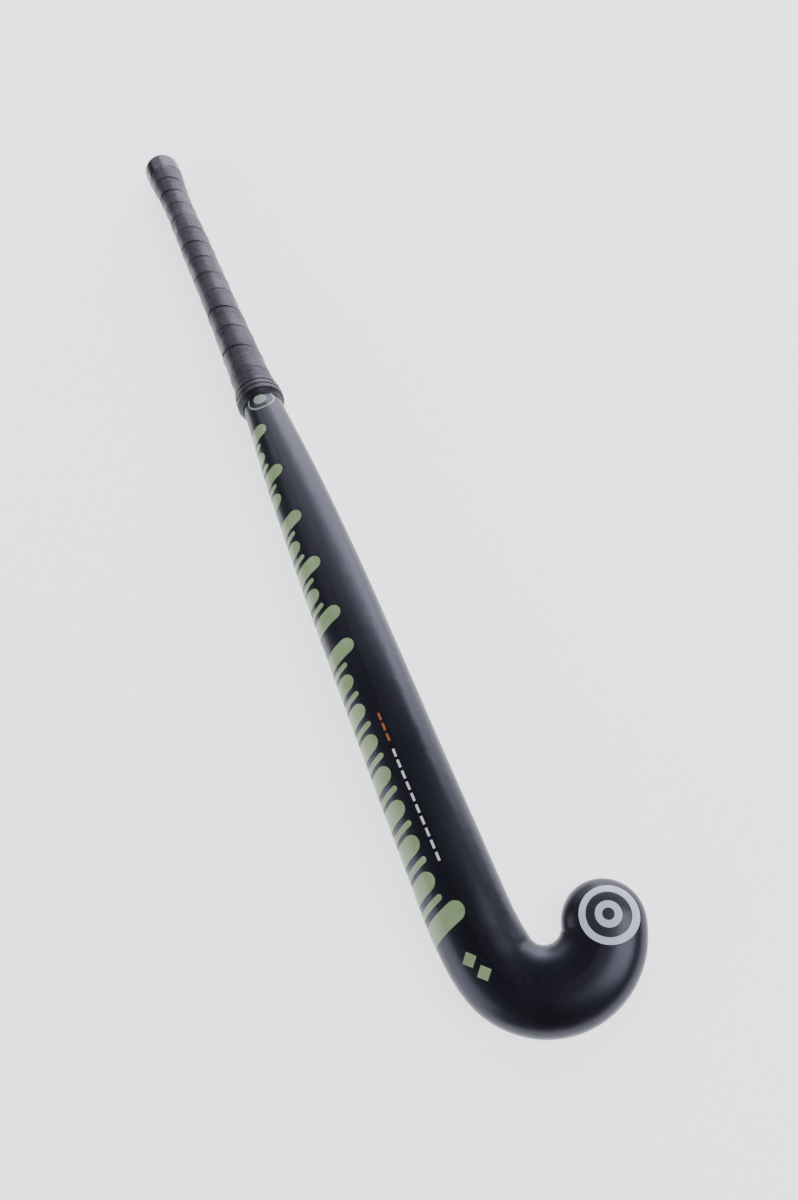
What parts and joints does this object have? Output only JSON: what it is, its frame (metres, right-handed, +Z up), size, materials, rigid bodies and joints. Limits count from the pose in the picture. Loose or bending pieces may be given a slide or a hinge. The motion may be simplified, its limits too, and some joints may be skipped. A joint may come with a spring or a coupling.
{
  "type": "field hockey stick",
  "caption": "Composite field hockey stick with a low bow, a tight J-shaped hook, a flat playing face, a domed back and a tape-wrapped handle",
  "frame": {"origin": "middle of the stick's bounding box on the surface that it lies on, face down", "axes": "+Z up, away from the playing face; +Y from the head to the butt; +X from the heel side to the toe side"},
  "size_m": [0.1176, 0.9273, 0.0456],
  "materials": {
    "shell_paint": "satin",
    "core_foam": "matte",
    "tube_laminate": "satin",
    "plug_wood": "matte",
    "cap_rubber": "satin",
    "base_tape": "matte",
    "grip_tape": "matte",
    "band_tape": "satin",
    "graphic_green": "satin",
    "graphic_orange": "satin",
    "graphic_white": "satin",
    "badge_lilac": "satin",
    "badge_dark": "satin",
    "badge_pale": "satin"
  },
  "bodies": {
    "root": {"carbon_shell": "shell_paint", "head_foam_core": "core_foam", "inner_tube_heel_side": "tube_laminate", "inner_tube_toe_side": "tube_laminate", "handle_end_plug": "plug_wood", "butt_cap": "cap_rubber", "grip_base_tape": "base_tape", "grip_wrap": "grip_tape", "finishing_band": "band_tape", "heel_graphic": "graphic_green", "heel_mark": "graphic_green", "orange_dashes": "graphic_orange", "white_dashes": "graphic_white", "toe_badge_film": "badge_lilac", "toe_badge_ring": "badge_dark", "collar_badge": "badge_pale"}
  },
  "joints": []
}
